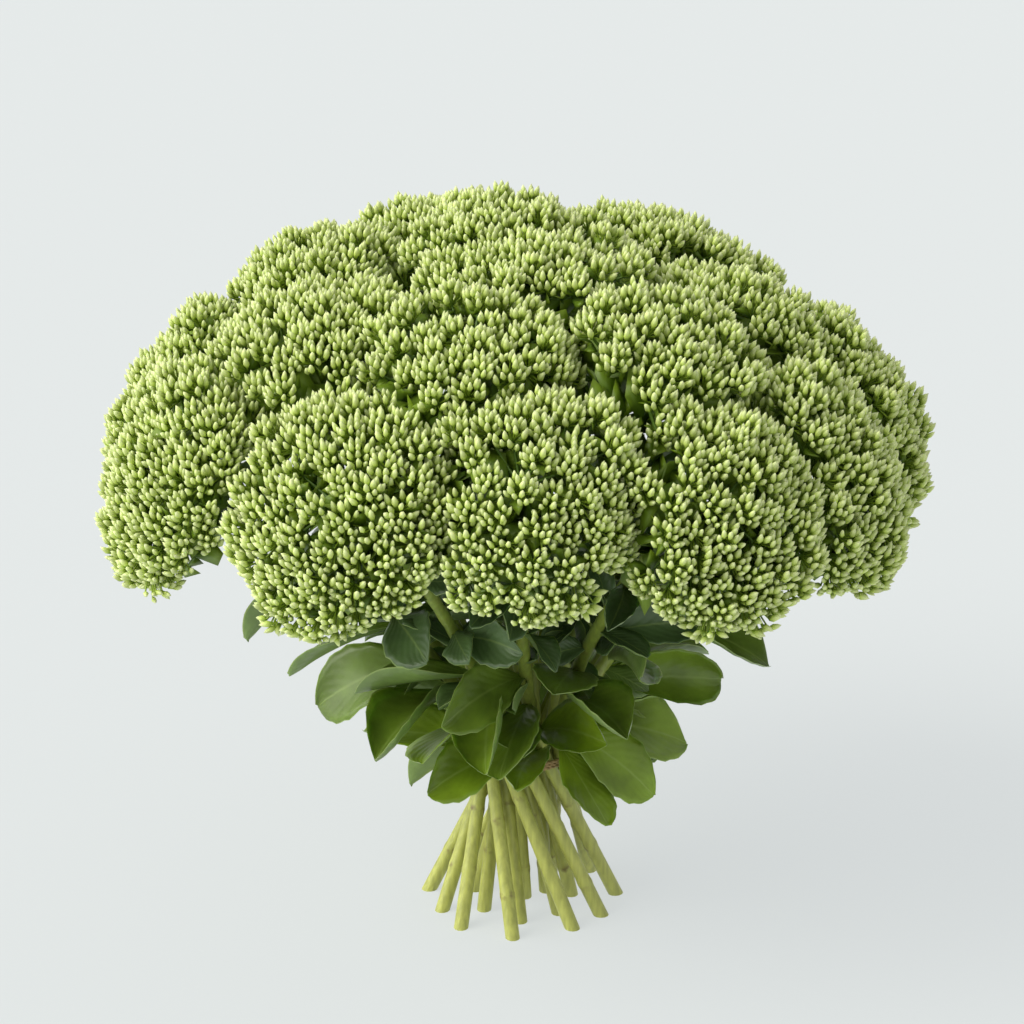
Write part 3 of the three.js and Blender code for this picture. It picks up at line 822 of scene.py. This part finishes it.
def leaves_mesh(name, leaves, draw, sizes):
    """All of a stem's leaves as one mesh, with a UV map across and along each leaf and its tone."""
    points, spots, faces, tones, unders = [], [], [], [], []
    for leaf in leaves:
        own_points, own_spots, own_sides, rows, columns = leaf_surface(leaf, draw, sizes)
        faces += leaf_faces(len(points), rows, columns)
        points += own_points
        spots += own_spots
        unders += own_sides
        tone = min(1, max(0, (leaf["root"].z - 112) / 45 + draw.uniform(-0.35, 0.35)))
        if leaf["length"] > 58:
            tone *= 0.4
        tones += [tone] * len(own_points)
    mesh = mesh_with(name, points, faces=faces, tone=tones, under=unders)
    layer = mesh.uv_layers.new(name="leaf_map")
    corners = np.zeros(len(mesh.loops), dtype=np.int32)
    mesh.loops.foreach_get("vertex_index", corners)
    layer.data.foreach_set("uv", np.array(spots, dtype=np.float32)[corners].ravel())
    mesh.shade_smooth()
    return mesh


def stem_line(stem, leaves, draw):
    """Points up the middle of a stem with its radius, swollen where leaves grow and ringed where they did."""
    straight = (stem["arc"].corners[0] - stem["foot"]).length
    scars = [straight * (share + draw.uniform(-SCARS["shift"], SCARS["shift"])) for share in SCARS["places"]]
    stations = list(np.linspace(-8, straight, 30)[:-1])
    for scar in scars:
        stations += [scar - 3.2, scar - 1.2, scar + 0.6, scar + 2.4]
    points, radii, marks = [], [], []
    for d in sorted(stations):
        point = stem["foot"] + stem["slope"] * d
        ring = max(exp(-((d - scar) / SCARS["width"]) ** 2) for scar in scars)
        points.append(point)
        radii.append(stem_radius(max(0, point.z)) + SCARS["swell"] * ring - 0.1)
        marks.append(ring)
    for t in np.linspace(0, 1, 34):
        point = stem["arc"].point(t)
        swell = max([exp(-((t - leaf["along"]) / 0.02) ** 2) for leaf in leaves] + [0])
        points.append(point)
        radii.append(stem_radius(point.z) + 0.55 * swell)
        marks.append(0.35 * swell)
    return points, radii, marks


def stem_tree(material):
    """A round stem along a line of points."""
    tree, given = new_geometry_tree("grow_stem", {"Sides": "NodeSocketInt"})
    radius = add_node(tree, "GeometryNodeInputNamedAttribute", {"Name": "radius"}, data_type="FLOAT")
    line = add_node(tree, "GeometryNodeMeshToCurve", {"Mesh": given})
    ring = add_node(tree, "GeometryNodeCurvePrimitiveCircle",
                    {"Resolution": given.outputs["Sides"], "Radius": 1.0})
    stem = add_node(tree, "GeometryNodeCurveToMesh",
                    {"Curve": line, "Profile Curve": ring, "Scale": radius, "Fill Caps": True})
    return end_tree(tree, stem, material)


def cut_flat(mesh):
    """Cuts a stem flat where it meets the surface, and closes the cut."""
    shape = bmesh.new()
    shape.from_mesh(mesh)
    everything = shape.verts[:] + shape.edges[:] + shape.faces[:]
    cut = bmesh.ops.bisect_plane(shape, geom=everything, plane_co=(0, 0, 0), plane_no=(0, 0, -1),
                                 clear_outer=True)
    rim = [e for e in cut["geom_cut"] if isinstance(e, bmesh.types.BMEdge)]
    bmesh.ops.contextual_create(shape, geom=rim)
    bmesh.ops.recalc_face_normals(shape, faces=shape.faces[:])
    shape.to_mesh(mesh)
    shape.free()
    mesh.shade_smooth()
    for face in mesh.polygons:
        if len(face.vertices) > 4:
            face.use_smooth = False


def joined(name, meshes, materials):
    """One mesh of several, each with its own material."""
    for mesh, material in zip(meshes, materials):
        mesh.materials.clear()
        mesh.materials.append(material)
    parts = [add_object("part", mesh) for mesh in meshes]
    with bpy.context.temp_override(active_object=parts[0], selected_editable_objects=parts):
        bpy.ops.object.join()
    mesh = parts[0].data
    bpy.data.objects.remove(parts[0])
    return mesh


def leaf_material(colours):
    """Stonecrop leaf: thick and fleshy, the upper ones with a waxy blue bloom, with a pale rim and midrib."""
    material, tree, shader = new_material("stonecrop_leaf", 0.34)
    tone, under = (add_node(tree, "ShaderNodeAttribute", attribute_name=name) for name in ("tone", "under"))
    place = add_node(tree, "ShaderNodeTexCoord").outputs["Object"]
    spot = add_node(tree, "ShaderNodeUVMap", uv_map="leaf_map")
    split = add_node(tree, "ShaderNodeSeparateXYZ", {"Vector": spot})
    centred = add_node(tree, "ShaderNodeMath", {0: split.outputs["X"], 1: 0.5}, operation="SUBTRACT")
    across = add_node(tree, "ShaderNodeMath", {0: centred}, operation="ABSOLUTE")
    body = add_node(tree, "ShaderNodeMix", {
        "Factor": tone.outputs["Fac"], MIX_A: colours.leaf_bright, MIX_B: colours.leaf_blue},
        data_type="RGBA")
    turned = add_node(tree, "ShaderNodeMath", {0: under.outputs["Fac"], 1: 0.65}, operation="MULTIPLY")
    body = add_node(tree, "ShaderNodeMix", {"Factor": turned, MIX_A: body, MIX_B: colours.leaf_under},
                    data_type="RGBA")
    # The green is mottled in patches about 22 mm across.
    cloud = add_node(tree, "ShaderNodeTexNoise", {"Vector": place, "Scale": 45.0, "Detail": 4.0})
    body = mottled(tree, body, cloud, 0.68, 1.22, 0.32, 0.68)
    rim = add_node(tree, "ShaderNodeMapRange", {
        "Value": across, "From Min": 0.475, "From Max": 0.497, "To Max": 0.6})
    rib = add_node(tree, "ShaderNodeMapRange", {
        "Value": across, "From Min": 0.004, "From Max": 0.03, "To Min": 0.28, "To Max": 0.0})
    pale = add_node(tree, "ShaderNodeMath", {0: rim, 1: rib}, operation="MAXIMUM")
    edged = add_node(tree, "ShaderNodeMix", {"Factor": pale, MIX_A: body, MIX_B: colours.leaf_edge},
                     data_type="RGBA")
    # Side veins leave the midrib about every 7 mm and slant to the tip; they show as soft furrows.
    slant = add_node(tree, "ShaderNodeMath", {0: across, 1: 0.9}, operation="MULTIPLY")
    phase = add_node(tree, "ShaderNodeMath", {0: split.outputs["Y"], 1: slant}, operation="SUBTRACT")
    turns = add_node(tree, "ShaderNodeMath", {0: phase, 1: 50.0}, operation="MULTIPLY")
    vein = add_node(tree, "ShaderNodeMath", {0: turns}, operation="SINE")
    # The skin's grain is drawn at about 2.4 mm, coarser than the real one, so that it shows.
    grain = add_node(tree, "ShaderNodeTexNoise", {"Vector": place, "Scale": 420.0})
    relief = add_node(tree, "ShaderNodeMath", {0: vein, 1: 0.35, 2: grain}, operation="MULTIPLY_ADD")
    bump = add_node(tree, "ShaderNodeBump", {"Height": relief, "Strength": 0.25, "Distance": 0.0005})
    set_inputs(tree, shader, {
        "Base Color": edged, "Normal": bump, "Subsurface Weight": 0.12,
        "Subsurface Radius": (0.6, 1.0, 0.25), "Subsurface Scale": 0.002})
    return material


def stem_material(colours):
    """Stonecrop stem: fleshy, with faint ridges and dry brown leaf scars, and yellow-green at the foot."""
    material, tree, shader = new_material("stonecrop_stem", 0.42)
    place = add_node(tree, "ShaderNodeTexCoord").outputs["Object"]
    mark = add_node(tree, "ShaderNodeAttribute", attribute_name="mark")
    height = add_node(tree, "ShaderNodeSeparateXYZ", {"Vector": place})
    rise = add_node(tree, "ShaderNodeMapRange",
                    {"Value": height.outputs["Z"], "From Min": 0.06, "From Max": 0.17})
    body = add_node(tree, "ShaderNodeMix",
                    {"Factor": rise, MIX_A: colours.stem_low, MIX_B: colours.stem_high}, data_type="RGBA")
    # The ridges are about 2.4 mm apart and run some 20 mm up the stem.
    stretched = add_node(tree, "ShaderNodeMapping", {"Vector": place, "Scale": (1, 1, 0.12)})
    streaks = add_node(tree, "ShaderNodeTexNoise", {"Vector": stretched, "Scale": 420.0, "Detail": 3.0})
    body = mottled(tree, body, streaks, 0.8, 1.14, 0.32, 0.66)
    # Scars are patches about 6 mm across, not whole rings.
    patches = add_node(tree, "ShaderNodeTexNoise", {"Vector": place, "Scale": 170.0})
    patch = add_node(tree, "ShaderNodeMapRange", {"Value": patches, "From Min": 0.5, "From Max": 0.68})
    dry = add_node(tree, "ShaderNodeMath", {0: mark.outputs["Fac"], 1: patch}, operation="MULTIPLY")
    scarred = add_node(tree, "ShaderNodeMix", {"Factor": dry, MIX_A: body, MIX_B: colours.stem_scar},
                       data_type="RGBA")
    bump = add_node(tree, "ShaderNodeBump", {"Height": streaks, "Strength": 0.3, "Distance": 0.0005})
    set_inputs(tree, shader, {
        "Base Color": scarred, "Normal": bump, "Subsurface Weight": 0.1,
        "Subsurface Radius": (1.0, 1.0, 0.4), "Subsurface Scale": 0.002})
    return material


# Tie

def tie_line():
    """The twine's way: turns side by side round the stems."""
    turns, steps = TIE["turns"], TIE["turns"] * 72
    around = TIE["inner"] + TIE["thickness"] / 2
    points = []
    for i in range(steps + 1):
        share = i / steps
        z = TIE["level"] + (share - 0.5) * (turns - 1) * TIE["thickness"]
        points.append(polar(around, 90 + 360 * turns * share, z))
    return points


def knot_lines():
    """The knot as a closed overhand loop, and the twine's two cut ends, behind the bunch."""
    middle = Vector((0, TIE["inner"] + TIE["thickness"] + KNOT["behind"], TIE["level"]))
    loop = []
    for i in range(49):
        a = tau * i / 48
        loop.append(middle + KNOT["size"] * Vector((sin(a) + 2 * sin(2 * a), 1.3 * sin(3 * a),
                                                    0.8 * (cos(a) - 2 * cos(2 * a)))))
    ends = []
    for side, length in KNOT["ends"]:
        ends.append([
            middle + Vector((side * length * (0.1 + 0.5 * t), 2.5 * sin(3 * t), -length * t ** 1.6))
            for t in (0, 0.15, 0.3, 0.45, 0.6, 0.75, 0.9, 1.0)])
    return [loop, *ends]


def twine_tree(material):
    """Two-ply twine along a line: a two-lobed section that twists as it goes."""
    tree, given = new_geometry_tree("twist_twine", {
        "Thickness": "NodeSocketFloat", "Twists": "NodeSocketFloat", "Points": "NodeSocketInt"})
    asked = given.outputs
    line = add_node(tree, "GeometryNodeMeshToCurve", {"Mesh": given})
    line = add_node(tree, "GeometryNodeResampleCurve", {"Curve": line, "Count": asked["Points"]})
    share = add_node(tree, "GeometryNodeSplineParameter")
    twist = add_node(tree, "ShaderNodeMath", {0: share, 1: asked["Twists"]}, operation="MULTIPLY")
    twisted = add_node(tree, "GeometryNodeSetCurveTilt", {"Curve": line, "Tilt": twist})
    section = add_node(tree, "GeometryNodeCurvePrimitiveCircle", {"Resolution": 8, "Radius": 1.0})
    place = add_node(tree, "GeometryNodeInputPosition")
    axes = add_node(tree, "ShaderNodeSeparateXYZ", {"Vector": place})
    wide = add_node(tree, "ShaderNodeMath", {0: axes.outputs["X"]}, operation="ABSOLUTE")
    waist = add_node(tree, "ShaderNodeMapRange", {"Value": wide, "To Min": 0.62, "To Max": 1.0})
    pinched = add_node(tree, "ShaderNodeVectorMath", {0: place, "Scale": waist}, operation="SCALE")
    section = add_node(tree, "GeometryNodeSetPosition", {"Geometry": section, "Position": pinched})
    half = add_node(tree, "ShaderNodeMath", {0: asked["Thickness"], 1: 0.5}, operation="MULTIPLY")
    twine = add_node(tree, "GeometryNodeCurveToMesh",
                     {"Curve": twisted, "Profile Curve": section, "Scale": half, "Fill Caps": True})
    return end_tree(tree, twine, material)


def twine_material(colours):
    """Jute twine: dry, matt and a little hairy, in two shades of straw."""
    material, tree, shader = new_material("jute_twine", 0.85)
    place = add_node(tree, "ShaderNodeTexCoord")
    # Bundles of fibres about 1 mm apart.
    fibre = add_node(tree, "ShaderNodeTexNoise",
                     {"Vector": place.outputs["Object"], "Scale": 900.0, "Detail": 3.0})
    bump = add_node(tree, "ShaderNodeBump", {"Height": fibre, "Strength": 0.5, "Distance": 0.0003})
    set_inputs(tree, shader, {"Base Color": mottled(tree, colours.twine, fibre, 0.55, 1.35), "Normal": bump})
    return material


# Stage

def floor_mesh():
    """A floor so wide that its edges stay out of sight."""
    corners = [Vector((x, y, 0)) * FLOOR_REACH for x, y in ((-1, -1), (1, -1), (1, 1), (-1, 1))]
    return mesh_with("floor", corners, faces=[(0, 1, 2, 3)])


def add_light(name, way, power, softness, colour):
    """Adds a soft, distant light that shines from the way given."""
    light = bpy.data.lights.new(name, "SUN")
    light.energy, light.color, light.angle = power, linear(colour), radians(softness)
    add_object(name, light).rotation_euler = Vector(way).to_track_quat("Z", "Y").to_euler()


class BUNCH_OT_flower_heads(bpy.types.Operator):
    """Grow the buds and their stalks on every flower head"""
    bl_idname = "bunch.flower_heads"
    bl_label = "Flower heads"

    def execute(self, context):
        sizes, colours = context.scene.bunch_sizes, context.scene.bunch_colours
        stems = lay_out_stems()
        heads = [stem["head"] for stem in stems]
        shapes = [add_object(mesh.name, mesh) for mesh in (bud_mesh(), bract_mesh())]
        tree = head_tree(shapes, [bud_material(colours), bract_material(colours), stalk_material(colours)])
        crowds = {"mounds": Crowd(0.75 * sizes.mound_spacing / MM), "buds": Crowd(sizes.bud_spacing / MM)}
        for stem in stems:
            draw = random.Random(sizes.seed * 1000 + stem["index"])
            skeleton = head_skeleton(stem["head"], heads, crowds, sizes, draw)
            mesh = grow(tree, skeleton.mesh("skeleton"), {
                "Bud length": sizes.bud_length, "Bud width": sizes.bud_width,
                "Bract length": sizes.bract_length, "Stalk sides": 3, "Seed": sizes.seed + stem["index"]})
            number = f"{stem['index'] + 1:02d}"
            finish_piece(f"budding_head_{number}", mesh, f"flower_head_{number}")
        for shape in shapes:
            bpy.data.objects.remove(shape)
        return {"FINISHED"}


class BUNCH_OT_leafy_stems(bpy.types.Operator):
    """Grow the stems and their leaves"""
    bl_idname = "bunch.leafy_stems"
    bl_label = "Leafy stems"

    def execute(self, context):
        sizes, colours = context.scene.bunch_sizes, context.scene.bunch_colours
        leaf, stalk = leaf_material(colours), stem_material(colours)
        tree = stem_tree(stalk)
        for stem in lay_out_stems():
            number = f"{stem['index'] + 1:02d}"
            node = f"leafy_stem_{number}"
            draw = random.Random(sizes.seed * 2000 + stem["index"])
            leaves = grown_leaves(stem, node) + young_leaves(stem, node, draw)
            points, radii, marks = stem_line(stem, leaves, draw)
            bar = grow(tree, line_mesh(points, radius=[r * MM for r in radii], mark=marks), {"Sides": 12})
            cut_flat(bar)
            mesh = joined("leafy_stem", [bar, leaves_mesh("leaves", leaves, draw, sizes)], [stalk, leaf])
            finish_piece(f"leaves_and_stem_{number}", mesh, node)
        return {"FINISHED"}


class BUNCH_OT_twine_tie(bpy.types.Operator):
    """Wind the twine round the stems"""
    bl_idname = "bunch.twine_tie"
    bl_label = "Twine tie"

    def execute(self, context):
        sizes, colours = context.scene.bunch_sizes, context.scene.bunch_colours
        twine = twine_material(colours)
        tree = twine_tree(twine)
        meshes = []
        for points in [tie_line(), *knot_lines()]:
            length = sum((b - a).length for a, b in zip(points, points[1:]))
            meshes.append(grow(tree, line_mesh(points), {
                "Thickness": sizes.twine_thickness, "Twists": tau * length / sizes.twine_lay * MM,
                "Points": max(12, round(length * 1.2))}))
        mesh = joined("tie", meshes, [twine] * len(meshes))
        mesh.shade_smooth()
        finish_piece("wound_twine", mesh, "twine_tie")
        return {"FINISHED"}


class BUNCH_OT_stage(bpy.types.Operator):
    """Set up the floor, the lights and the camera"""
    bl_idname = "bunch.stage"
    bl_label = "Stage"

    def execute(self, context):
        scene, stage = context.scene, context.scene.bunch_stage
        ground = add_object("floor", floor_mesh())
        # Opal acrylic lit from below: matt and near white, so that shadows on it stay faint.
        material, tree, shader = new_material("lit_opal_acrylic", 0.9)
        set_inputs(tree, shader, {
            "Base Color": stage.floor, "Specular IOR Level": 0.1,
            "Emission Color": linear("#E4E9EA"), "Emission Strength": stage.floor_glow})
        ground.data.materials.append(material)
        world = bpy.data.worlds.new("room")
        world.use_nodes = True
        tree = world.node_tree
        # Seen past the floor's edge the room is as bright as the floor, and it lights the bunch less.
        seen = add_node(tree, "ShaderNodeLightPath")
        power = add_node(tree, "ShaderNodeMapRange",
                         {"Value": seen.outputs["Is Camera Ray"], "To Min": stage.sky, "To Max": 0.8})
        set_inputs(tree, tree.nodes["Background"], {"Color": linear("#FCFDFF"), "Strength": power})
        scene.world = world
        add_light("key", (-0.82, -0.34, 0.8), stage.key_power, 40, "#FFFCF2")
        add_light("window", (-0.95, -0.22, 0.4), stage.window_power, 70, "#FFFFF6")
        back = Vector((0, -cos(stage.camera_height), sin(stage.camera_height)))
        camera = add_object("camera", bpy.data.cameras.new("camera"))
        camera.data.lens = stage.lens
        camera.location = LOOKED_AT + back * stage.camera_distance
        camera.rotation_euler = back.to_track_quat("Z", "Y").to_euler()
        scene.camera = camera
        scene.view_settings.view_transform = "Standard"
        return {"FINISHED"}


class BUNCH_PT_panel(bpy.types.Panel):
    """Lists the sizes, the colours and the steps"""
    bl_idname = "BUNCH_PT_panel"
    bl_label = "Stonecrop bunch"
    bl_space_type = "VIEW_3D"
    bl_region_type = "UI"
    bl_category = "Bunch"

    def draw(self, context):
        for group in (context.scene.bunch_sizes, context.scene.bunch_colours, context.scene.bunch_stage):
            for name in group.bl_rna.properties.keys():
                if name not in ("rna_type", "name"):
                    self.layout.prop(group, name)
        for step in STEPS:
            self.layout.operator(step.bl_idname)


STEPS = (BUNCH_OT_flower_heads, BUNCH_OT_leafy_stems, BUNCH_OT_twine_tie, BUNCH_OT_stage)
GROUPS = (BunchSizes, BunchColours, StageSettings)


def register():
    for entry in (*GROUPS, *STEPS, BUNCH_PT_panel):
        bpy.utils.register_class(entry)
    bpy.types.Scene.bunch_sizes = bpy.props.PointerProperty(type=BunchSizes)
    bpy.types.Scene.bunch_colours = bpy.props.PointerProperty(type=BunchColours)
    bpy.types.Scene.bunch_stage = bpy.props.PointerProperty(type=StageSettings)


def unregister():
    del bpy.types.Scene.bunch_sizes
    del bpy.types.Scene.bunch_colours
    del bpy.types.Scene.bunch_stage
    for entry in (BUNCH_PT_panel, *STEPS, *GROUPS):
        bpy.utils.unregister_class(entry)


def main():
    register()
    bpy.ops.bunch.flower_heads()
    bpy.ops.bunch.leafy_stems()
    bpy.ops.bunch.twine_tie()
    bpy.ops.bunch.stage()


if __name__ == "__main__":
    main()
